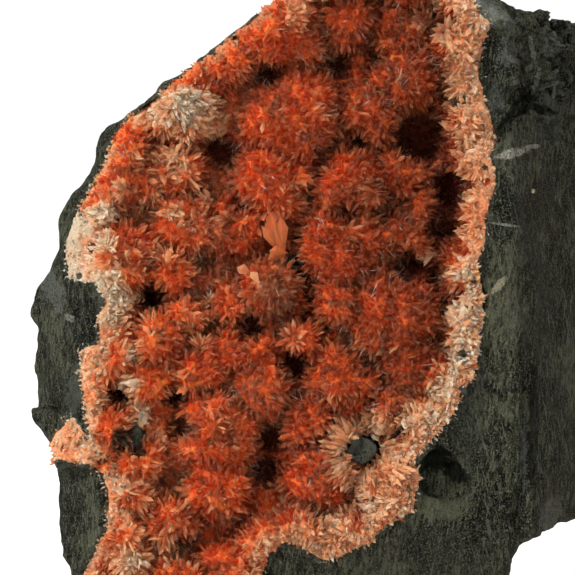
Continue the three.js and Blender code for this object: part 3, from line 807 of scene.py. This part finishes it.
# %% Sow the crust
BLADES = dict(spacing=0.9, widths=(0.7, 1.5), lengths=(1.2, 2.6), lean=0.5,
              wanted=("rim", -0.2, 1.0))  # nearly everywhere
POINTS = dict(spacing=1.2, widths=(0.7, 1.3), lengths=(1.5, 2.7), lean=0.5,
              wanted=("swell", 0.8, 0.15))  # on the heads
NEEDLES = dict(spacing=0.6, widths=(0.1, 0.16), lengths=(1.6, 3.4), lean=1.5,
               wanted=("wisps", 1.0, 0.04))  # in tufts between them
CHIPS = dict(spacing=1.3, widths=(1.0, 2.3), lengths=(1.2, 2.8), lean=0.8,
             wanted=("rim", 2.0, -0.6))  # where the crust is peach or paler
GRAINS = dict(spacing=0.8, widths=(0.4, 0.9), lengths=(0.5, 1.2), lean=1.2,
              wanted=("rim", 1.6, -0.9))  # where it is cream
crops = [
    sow("blades_low", bed, blades, **BLADES, seed=11, heights=(0, 56)),
    sow("blades_middle", bed, blades, **BLADES, seed=12, heights=(56, 98)),
    sow("blades_high", bed, blades, **BLADES, seed=17, heights=(98, 160)),
    sow("crystal_points", bed, points, **POINTS, seed=18),
    sow("rim_chips", bed, blades, **CHIPS, seed=16),
    sow("rim_grains", bed, chunks, **GRAINS, seed=19),
]
wisps = sow("needle_wisps", bed, needles, **NEEDLES, seed=15)

# %% [markdown]
# ## Fans
# Some crystals are larger than their neighbours and grew outwards from one spot: stars, half
# fans at a brow, and the ring of petals round the bare spot of rock. A short table says where
# each fan is and which way it opens, and a loop turns one blade shape round its centre.

# %% Fans of larger crystals
FANS = [  # centre x, z; inner radius; petals; opens from, to in degrees; length; width; tilt; pale
    (5.4, 41.2, 5.0, 54, 0, 360, 4.4, 0.9, 42, 0.6),
    (5.4, 41.2, 5.9, 54, 0, 360, 4.0, 0.9, 32, 0.55),
    (5.4, 41.2, 7.2, 50, 0, 360, 3.8, 1.0, 42, 0.45),
    (-9.7, 65.6, 0.8, 11, 20, 330, 4.2, 1.1, 35, 0.2),
    (-9.4, 65.2, 0.6, 9, 0, 360, 3.4, 0.9, 60, 0.35),
    (-31.5, 67.5, 0.3, 14, 40, 200, 4.2, 0.9, 30, 0.3),
    (-29.5, 63.5, 0.3, 12, -30, 150, 4.0, 0.9, 35, 0.25),
    (-27.2, 72.8, 0.1, 5, 60, 170, 3.2, 0.7, 40, 0.9),
    (23.0, 129.5, 0.3, 16, 20, 330, 4.6, 1.6, 35, 0.5),
    (18.5, 132.5, 0.3, 12, 60, 240, 4.2, 1.4, 35, 0.4),
    (20.0, 83.2, 0.2, 12, 150, 230, 3.6, 0.8, 30, 0.7),
    (-32.5, 108.5, 0.4, 18, 90, 320, 2.6, 0.7, 35, 0.5),
    (-36.0, 113.0, 0.4, 14, 60, 240, 2.4, 0.6, 35, 0.6),
    (-45.0, 96.5, 0.4, 12, 90, 250, 3.4, 1.0, 35, 0.5),
    (-23.5, 90.5, 0.4, 12, 60, 240, 3.4, 1.0, 40, 0.3),
    (-27.5, 94.0, 0.4, 12, 80, 260, 3.0, 1.0, 40, 0.35),
    (7.5, 96.0, 0.3, 14, 150, 290, 4.4, 0.9, 40, 0.2),
]
LEAVES = [  # base x, z; turn in degrees; length; width; tilt; pale
    (-12.6, 84.8, 103, 8.8, 4.6, 16, -0.2), (-12.0, 85.4, 92, 6.4, 2.6, 24, 0.1),
    (-13.6, 85.0, 122, 5.6, 2.4, 26, 0.15), (-13.0, 83.0, 200, 3.0, 2.2, 40, 0.2),
    (-12.2, 83.6, 170, 3.2, 2.4, 35, 0.1), (-19.5, 79.4, 150, 2.8, 2.4, 35, 0.3),
    (-17.5, 77.8, 120, 2.6, 2.0, 40, 0.25),
]
FAN_LIFT, LEAF_LIFT = 1.2, 3.2  # mm by which their feet stand in front of the ground
LEAF_HOLLOW_SHADE = 0.3  # how much of the hollows' painted shade the leaves take
FRONT_LIMIT = -44 * MM  # nothing stands out further
FRINGE = (44, 65)  # the part of the outline, by point, whose petals reach outwards
FRINGE_STEP = 0.3  # mm of outline for each petal
HEAD_PETALS = 12  # larger crystals on each head
HEAD_MARGIN = 2  # and how far from the rim, in mm, they have to stay
KEPT = ("tip", "tone", "rim", "deep", "brown", "swell", "stone", "shade")  # for the finish


def around(x, z, out, turn):
    """The place out mm away from x, z in a direction given in degrees."""
    return x + out * math.cos(math.radians(turn)), z + out * math.sin(math.radians(turn))


def new_crop():
    crop = bmesh.new()
    for name in KEPT:
        crop.verts.layers.float.new(name)
    return crop


def plant(crop, shape, x, z, turn, tilt, length, width, pale, roll=0.0, lift=0.0, deep=0.0):
    """Adds one crystal that leans out of the face by tilt, its flat side to the front."""
    foot = bed_tree.ray_cast(Vector((x, IN_FRONT, z)) * MM, BACKWARDS)[0]
    if foot is None:
        return
    foot.y -= lift * MM
    turn, tilt = math.radians(turn), math.radians(tilt)
    flat = math.cos(tilt)
    along = Vector((math.cos(turn) * flat, -math.sin(tilt), math.sin(turn) * flat))
    across = Vector((-math.sin(turn), 0, math.cos(turn)))
    across.rotate(Matrix.Rotation(roll, 3, along))
    facing = along.cross(across)
    stand = Matrix((across * width, facing * width, along * length)).transposed() * MM
    start = len(crop.verts)
    crop.from_mesh(shape.data)
    crop.verts.ensure_lookup_table()
    added = crop.verts[start:]
    bmesh.ops.transform(crop, matrix=Matrix.Translation(foot) @ stand.to_4x4(), verts=added)
    for point in added:
        point.co.y = max(point.co.y, FRONT_LIMIT)
    # painted light as on a head, painted shade towards the right and, where given, in the hollows
    values = {"tone": random.random(), "rim": pale, "swell": 0.6, "deep": deep,
              "shade": smooth(-20, 20, x)}
    for name, value in values.items():
        layer = crop.verts.layers.float[name]
        for point in added:
            point[layer] = value


random.seed(23)
bed_tree = bvhtree.BVHTree.FromObject(bed, bpy.context.evaluated_depsgraph_get())
leaf = crystal("leaf", 4, 0.1, 0.55, flatness=0.3, lean=0.1)
fan_shape, leaf_shape = new_crop(), new_crop()

# %% Plant them
for x, z, inner, petals, opens, closes, length, width, tilt, pale in FANS:
    for step in range(petals):
        turn = opens + (closes - opens) * (step + random.uniform(0.1, 0.9)) / petals
        foot_x, foot_z = around(x, z, inner + random.uniform(0, 0.5), turn)
        plant(fan_shape, random.choice(blades), foot_x, foot_z, turn,
              tilt * random.uniform(0.6, 1.4),
              length * random.uniform(0.7, 1.1), width * random.uniform(0.7, 1.2),
              pale + random.uniform(-0.12, 0.12), random.uniform(-0.5, 0.5), lift=FAN_LIFT)
for x, z, radius, _ in HEADS:
    for step in range(HEAD_PETALS):
        turn = random.uniform(0, 360)
        foot_x, foot_z = around(x, z, radius * random.uniform(0.3, 0.85), turn)
        rim = float(rim_distance(foot_x, foot_z))
        if rim > HEAD_MARGIN:
            pale = float(paleness(foot_x, foot_z, rim, clouds(foot_x, foot_z)))
            plant(fan_shape, random.choice(blades), foot_x, foot_z, turn + random.uniform(-25, 25),
                  random.uniform(30, 65), random.uniform(1.8, 3.2), random.uniform(0.6, 1.2),
                  pale + random.uniform(-0.2, 0.1), random.uniform(-0.6, 0.6))
fringe = CRUST_OUTLINE[FRINGE[0]:FRINGE[1] + 1]
for a, b in zip(fringe, fringe[1:]):
    run = b - a
    inwards = np.array((run[1], -run[0])) / np.hypot(*run)
    for step in range(int(np.hypot(*run) / FRINGE_STEP)):
        foot_x, foot_z = a + random.random() * run + random.uniform(0.4, 3.8) * inwards
        turn = math.degrees(math.atan2(-inwards[1], -inwards[0])) + random.uniform(-45, 45)
        plant(fan_shape, random.choice(blades), foot_x, foot_z, turn, random.uniform(25, 65),
              random.uniform(1.2, 2.6), random.uniform(0.6, 1.4), random.uniform(0.3, 0.8),
              random.uniform(-0.8, 0.8))
for x, z, turn, length, width, tilt, pale in LEAVES:
    plant(leaf_shape, leaf, x, z, turn, tilt, length, width, pale, lift=LEAF_LIFT, deep=LEAF_HOLLOW_SHADE)
crops.append(object_from("crystal_fans", fan_shape))
leaves = object_from("crystal_leaves", leaf_shape)
print("fan triangles:", sum(len(face.vertices) - 2 for face in crops[-1].data.polygons))
for shape in [bed, *blades, *points, *needles, *chunks, leaf]:
    bpy.data.objects.remove(shape)

# %% [markdown]
# ## The colour of the crystals
# Rhodochrosite is a translucent pink to orange-red. In the real crust light enters, scatters
# between the crystals and comes out redder the deeper it went, so the hollows look like dark wine
# and the thin tips look peach. Along the rim the crystals are milky. The shader paints that light
# and shade
# into a body colour: painted light on the heads, painted shade of dark wine in the hollows and
# towards the right, and painted light that pales the tips. It pales the colour towards the milky
# rim, lets part of the light pass and scatters the rest below the surface. The ground behind is
# the same, but opaque, and its deepest pits take a darker painted shade.

# %% Crystal finish
WINE_SHADE, BRICK, ORANGE = (0.26, 0.06, 0.03), (0.68, 0.12, 0.033), (1.0, 0.28, 0.07)
PEACH, CREAM, UMBER = (1.0, 0.53, 0.28), (1.0, 0.82, 0.62), (0.44, 0.23, 0.13)
TAN, GREYISH, STONE = (0.62, 0.36, 0.20), (0.46, 0.38, 0.29), (0.035, 0.038, 0.03)
DARK_WINE_SHADE, DULL_CREAM = (0.12, 0.03, 0.018), (0.60, 0.47, 0.34)
PAINTED_TIP_LIGHT = (1.0, 0.6, 0.38)
REDDENED, MILKY = (1.0, 0.3, 0.12), (1.0, 0.6, 0.4)  # how far scattered light gets, by colour
SCATTER = 0.0012  # metres


def crystal_finish(name, clear):
    """clear is the share of the light that passes straight through."""
    look = Finish(name)
    tone, tip = look.kept("tone"), look.kept("tip")
    rim, deep, brown, swell, shade = (
        look.kept(name) for name in ("rim", "deep", "brown", "swell", "shade"))
    cloud = look.noise(7, detail=3)
    # painted light: orange where the heads stand out, varied at random by tone and cloud
    mixed = look.plus(look.times(tone, 0.2), look.times(cloud, 0.7))
    mixed = look.plus(mixed, look.times(swell, 0.35))
    body = look.blend(look.span(mixed, 0.35, 0.95), BRICK, ORANGE)
    body = look.blend(look.times(brown, 0.75), body, UMBER)
    # painted light: the tips of the clear crystals pale, as if lit through
    body = look.blend(look.times(tip, 0.5 * clear), body, PAINTED_TIP_LIGHT)
    # painted shade: dark wine towards the right
    body = look.blend(look.times(shade, 0.35), body, WINE_SHADE)
    # painted shade: dark wine in the hollows, darker still in the ground's deepest pits
    body = look.blend(look.times(deep, 0.9), body, WINE_SHADE)
    if not clear:
        body = look.blend(look.span(deep, 0.6, 1.0), body, DARK_WINE_SHADE)
    pale = look.plus(rim, look.times(look.math("SUBTRACT", tone, 0.5), 0.35))
    milky = look.span(pale, 0.15, 0.6)
    stone = look.span(look.kept("stone"), 0.3, 0.6)
    body = look.blend(milky if clear else look.times(milky, 0.55), body, PEACH)
    body = look.blend(look.span(pale, 0.55, 1.1), body, CREAM if clear else DULL_CREAM)
    fleck = look.noise(1.3, detail=5, rough=0.7, offset=4.4)
    dull = look.blend(look.span(pale, 0.95, 1.25), TAN, GREYISH)
    body = look.blend(look.times(milky, look.span(fleck, 0.5, 0.62)), body, dull)
    body = look.blend(look.times(stone, 0.9), body, STONE)
    grain = look.noise(0.3, detail=2)
    if clear:
        passing = look.math("SUBTRACT", clear, look.times(milky, 0.3 * clear))
        normal = look.bump(grain, 0.06)
    else:
        passing = 0.0
        rough = look.noise(0.9, detail=5, rough=0.7, offset=2.2)
        normal = look.bump(look.plus(grain, look.times(rough, 3.0)), 0.5)
    return look.finish(
        Base_Color=body,
        Roughness=look.plus(0.1, look.times(grain, 0.25)),
        IOR=1.15,
        Specular_IOR_Level=0.25,
        Transmission_Weight=passing,
        Subsurface_Weight=0.6,
        Subsurface_Radius=look.blend(milky, REDDENED, MILKY),
        Subsurface_Scale=SCATTER,
        Normal=normal,
    )


ground_look = crystal_finish("rhodochrosite_body", 0.0)
blade_look = crystal_finish("rhodochrosite_blades", 0.82)
leaf_look = crystal_finish("rhodochrosite_leaves", 0.4)


WISP_BROWN, WISP_TAN, WISP_GLINT = (0.42, 0.2, 0.11), (0.62, 0.46, 0.33), (0.95, 0.85, 0.76)


def wisp_finish():
    look = Finish("rhodochrosite_needles")
    tone = look.kept("tone")
    body = look.blend(tone, WISP_BROWN, WISP_TAN)
    # the palest needles turn near white: white threads, with painted glints
    body = look.blend(look.span(tone, 0.78, 0.9), body, WISP_GLINT)
    grain = look.noise(0.3, detail=2)
    return look.finish(Base_Color=body, Roughness=0.25, IOR=1.6, Specular_IOR_Level=0.5,
                       Transmission_Weight=0.5, Normal=look.bump(grain, 0.03))


wisp_look = wisp_finish()
looks = {crystal_ground: ground_look, wisps: wisp_look, leaves: leaf_look}
for piece in [crystal_ground, wisps, leaves, *crops]:
    print(piece.name, "reaches y", round(min(point.co.y for point in piece.data.vertices) / MM, 2))
    piece.data.materials.clear()
    piece.data.materials.append(looks.get(piece, blade_look))
    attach(piece, "root")
    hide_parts("rhodochrosite_crust")

# %% [markdown]
# ## The colour of the rock
# Slaty rock is nearly black with a green-grey bloom. It is combed by fine upright fibres, paler
# where its edges are worn, rusty on its right side, and crossed by a few quartz veins, cracks
# and dark facets. Faces turned to the right are also painted browner and darker: the brown is
# the rock's, the darkening is painted shade. The fibres and flecks are stretched noises. The
# veins and facets each have their place on the rock, so a table lays them down as soft spots
# with ragged edges. The same table paints shade into the notch beside the crust and a shadow
# along the fold on the right, and paints light onto a ledge at the lower right and onto the
# bare island, whose own grey-green is paler too.

# %% Rock finish
MARKS = [  # centre, half sizes, turn about y in degrees, colour, strength
    ((36.5, -37, 120), (10.5, 12, 16), 8, (0.003, 0.0034, 0.0028), 0.85),
    ((42.6, -35, 46), (3.6, 9, 20), 0, (0.0015, 0.0015, 0.0015), 0.9),
    # painted shadow along the fold, beside the side face that recedes
    ((38, -37, 115.5), (11, 14, 1.3), -53, (0.0004, 0.0004, 0.0004), 1.0),
    # painted shade in the notch beside the crust, the next mark too
    ((20.5, -36, 39.8), (5, 12, 4.8), 0, (0.001, 0.0012, 0.001), 1.0),
    ((24.5, -36, 37), (4.5, 12, 3), 30, (0.001, 0.0012, 0.001), 1.0),
    ((47, -28, 114), (7, 30, 12), 10, (0.12, 0.12, 0.1), 0.6),
    ((40, -36, 78), (9, 14, 24), 3, (0.055, 0.056, 0.042), 0.3),
    ((22, -36, 14), (34, 16, 17), 0, (0.06, 0.058, 0.042), 0.5),
    ((27, -38, 50), (5, 8, 26), 4, (0.06, 0.062, 0.05), 0.55),
    ((36.5, -36, 104.4), (5.6, 12, 1.5), -14, (0.42, 0.41, 0.33), 0.95),
    ((42, -34, 106.2), (4.5, 12, 0.8), -10, (0.34, 0.33, 0.27), 0.9),
    ((33.4, -38, 76.6), (3.8, 12, 1.1), -48, (0.36, 0.33, 0.22), 1.0),
    ((34.5, -36, 89.3), (5, 12, 0.45), 8, (0.30, 0.31, 0.28), 0.8),
    ((41.4, -33, 96.6), (0.9, 14, 0.8), 0, (0.75, 0.62, 0.42), 1.0),
    ((38.9, -36, 40.5), (0.55, 14, 13), 1, (0.11, 0.12, 0.14), 1.0),
    # painted shadow: a thin dark band along the fold
    ((41, -34, 46), (1.6, 14, 22), 1, (0.0006, 0.0006, 0.0006), 0.8),
    ((36, -37, 126), (4, 12, 6), 20, (0.16, 0.165, 0.15), 0.6),
    ((33, -37, 116), (3, 12, 5), 0, (0.14, 0.145, 0.13), 0.5),
    ((-57.3, -33, 69.6), (2.2, 9, 1.1), 20, (0.30, 0.31, 0.26), 0.9),
    ((-61, -28, 75.5), (3.5, 12, 8), -25, (0.15, 0.16, 0.14), 0.85),
    ((29.5, -37, 134.5), (7.5, 12, 4.5), 28, (0.22, 0.24, 0.21), 0.9),
    ((26, -38, 136.5), (3.5, 6, 2.2), 28, (0.5, 0.42, 0.32), 0.8),
    ((41.8, -30, 127.5), (1.0, 30, 4.5), -14, (0.3, 0.31, 0.28), 0.9),
    ((42.4, -30, 120.5), (0.9, 30, 4.5), 15, (0.3, 0.31, 0.28), 0.9),
    ((35, -34, 133.5), (6.5, 30, 1.8), 8, (0.25, 0.26, 0.23), 0.85),
    ((21, -38, 29.8), (7.5, 8, 3.2), 5, (0.11, 0.115, 0.07), 0.9),
    ((-56, -34, 54), (3.2, 12, 11), 18, (0.11, 0.12, 0.095), 0.8),
    ((-49, -36, 60), (2.0, 12, 9), 10, (0.1, 0.11, 0.09), 0.6),
    # painted light on the layered ledge edges at the lower right
    ((44.5, -28, 27.5), (9, 12, 4.5), -24, (0.16, 0.155, 0.125), 0.8),
    # the bare island: its own paler grey-green, with painted light over the shade of its ring of
    # petals
    ((5.4, -34, 41.2), (6, 12, 5.5), 0, (0.17, 0.18, 0.145), 0.8),
    ((47, -28, 129), (6, 30, 5), 0, (0.2, 0.2, 0.18), 0.6),
    ((-54, -34, 30), (5, 14, 9), 0, (0.003, 0.003, 0.0022), 0.6),
]
# The dark marks lie under the streaks and flecks, the light ones over them, the black ones last.
BLACK, DARK = 0.0014, 0.05  # the brightest that a mark of each kind may be
BLACK_MARKS = [mark for mark in MARKS if max(mark[3]) < BLACK]
DARK_MARKS = [mark for mark in MARKS if BLACK <= max(mark[3]) < DARK]
LIGHT_MARKS = [mark for mark in MARKS if max(mark[3]) >= DARK]
NEAR_BLACK, GREEN_SLATE = (0.0015, 0.0018, 0.001), (0.033, 0.035, 0.0195)
SHADED_BROWN_SLATE, RUST = (0.012, 0.010, 0.0055), (0.085, 0.045, 0.014)
FIBRE_GREY, WORN_GREY, SPECK_GREY = (0.13, 0.135, 0.085), (0.16, 0.165, 0.14), (0.26, 0.26, 0.19)


def rock_finish():
    look = Finish("dark_slaty_rock")
    broad = look.noise(16, detail=3, rough=0.55)
    mottle = look.noise(1.9, detail=7, rough=0.8, offset=3.3)
    fibre = look.noise(0.55, detail=5, rough=0.75, stretch=(1, 2.5, 5), turn=7)
    scratch = look.noise(0.4, detail=3, rough=0.7, stretch=(1, 5, 16), turn=-14, offset=7.1)
    grain = look.noise(0.35, detail=3, rough=0.75, offset=1.9)
    fray = look.noise(1.7, detail=6, rough=0.8, offset=5.7)
    facing = look.node("ShaderNodeNewGeometry").outputs["Normal"]
    to_right = look.node("ShaderNodeSeparateXYZ", {0: facing}).outputs["X"]
    side = look.span(to_right, 0.45, 0.8)
    lighter = look.times(look.math("SUBTRACT", broad, 0.53), 0.4)
    ragged = look.times(look.math("SUBTRACT", fray, 0.5), 4.5)

    mid = look.span(look.plus(mottle, lighter), 0.45, 0.6)
    body = look.blend(mid, NEAR_BLACK, GREEN_SLATE)
    # painted shade, partly real brown: faces turned to the right are darker, and browner as the
    # rock is there
    body = look.blend(look.times(side, 0.6), body, SHADED_BROWN_SLATE)
    body = look.marked(body, DARK_MARKS, ragged, 1.0)
    streaks = look.span(look.plus(fibre, lighter), 0.49, 0.6)
    body = look.blend(look.times(streaks, 0.65), body, FIBRE_GREY)
    body = look.blend(look.times(look.span(scratch, 0.57, 0.66), 0.45), body, WORN_GREY)
    body = look.blend(look.times(look.span(grain, 0.54, 0.64), 0.6), body, SPECK_GREY)
    stain = look.noise(1.1, detail=4, offset=8.8)
    rusty = look.times(side, look.span(stain, 0.58, 0.68))
    body = look.blend(look.times(rusty, 0.7), body, RUST)
    dusty = look.plus(look.kept("worn"), look.times(ragged, 0.12))
    body = look.blend(look.times(look.span(dusty, 0.05, 0.25), 0.5), body, WORN_GREY)
    speckled = look.span(look.plus(grain, look.times(fray, 0.5)), 0.68, 0.8)
    grainy = look.plus(0.25, look.times(speckled, 0.75))
    body = look.marked(body, LIGHT_MARKS, ragged, grainy)
    body = look.marked(body, BLACK_MARKS, ragged, 0.85)
    height = look.plus(look.times(fibre, 0.5), look.times(mottle, 1.5))
    normal = look.bump(grain, 1.1, after=look.bump(height, 5.0))
    return look.finish(Base_Color=body, Normal=normal, IOR=1.45, Specular_IOR_Level=0.08,
                       Roughness=look.plus(0.4, look.times(mottle, 0.5)))


dark_rock.data.materials.clear()
dark_rock.data.materials.append(rock_finish())
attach(dark_rock, "root")
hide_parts("matrix_rock")

# %% [markdown]
# ## Table, light and camera
# A specimen is shown on a plain pale table in soft light from the upper left, with a long lens
# level with its middle. The tent round it is brighter above than below, and looks plain white.

# %% Floor and light
bpy.context.scene.view_settings.view_transform = "Standard"

floor_shape = bmesh.new()
bmesh.ops.create_circle(floor_shape, cap_ends=True, segments=64, radius=6)
floor = object_from("table_top", floor_shape)
table = Finish("pale_table")
floor.data.materials.append(table.finish(Base_Color=(0.9, 0.9, 0.88), Roughness=0.9))

BACKDROP = 1.05  # what the camera sees of the tent

world = bpy.data.worlds.new("studio")
bpy.context.scene.world = world
world.use_nodes = True
tent = Nodes(world.node_tree)
way = tent.node("ShaderNodeTexCoord").outputs["Generated"]
up = tent.node("ShaderNodeSeparateXYZ", {0: way}).outputs["Z"]
lit = tent.node("ShaderNodeMapRange", {"Value": up, "From Min": -0.6, "From Max": 1.0,
                                       "To Min": 0.15, "To Max": 1.1}).outputs[0]
seen = tent.node("ShaderNodeLightPath").outputs["Is Camera Ray"]
strength = tent.node("ShaderNodeMix", {"Factor": seen, "A": lit, "B": BACKDROP})
sky = world.node_tree.nodes["Background"]
tent.feed(sky.inputs["Color"], (1, 1, 0.985))
tent.feed(sky.inputs["Strength"], strength.outputs["Result"])

key = bpy.data.lights.new("key", "SUN")
key.energy, key.angle, key.color = 3.7, math.radians(25), (1, 0.98, 0.95)
key_light = bpy.data.objects.new("key", key)
bpy.context.scene.collection.objects.link(key_light)
key_light.rotation_euler = Vector((0.62, 0.52, -0.58)).to_track_quat("-Z", "Y").to_euler()

# %% Camera
VIEW_CENTRE = Vector((-11.0, FACE_Y, 76.1)) * MM
VIEW_WIDTH = 120.75 * MM
VIEW_DISTANCE = 550 * MM

lens = bpy.data.cameras.new("camera")
lens.sensor_width = 36
lens.lens = 36 * VIEW_DISTANCE / VIEW_WIDTH
camera = bpy.data.objects.new("camera", lens)
bpy.context.scene.collection.objects.link(camera)
camera.location = VIEW_CENTRE - Vector((0, VIEW_DISTANCE, 0))
camera.rotation_euler = (math.pi / 2, 0, 0)
bpy.context.scene.camera = camera
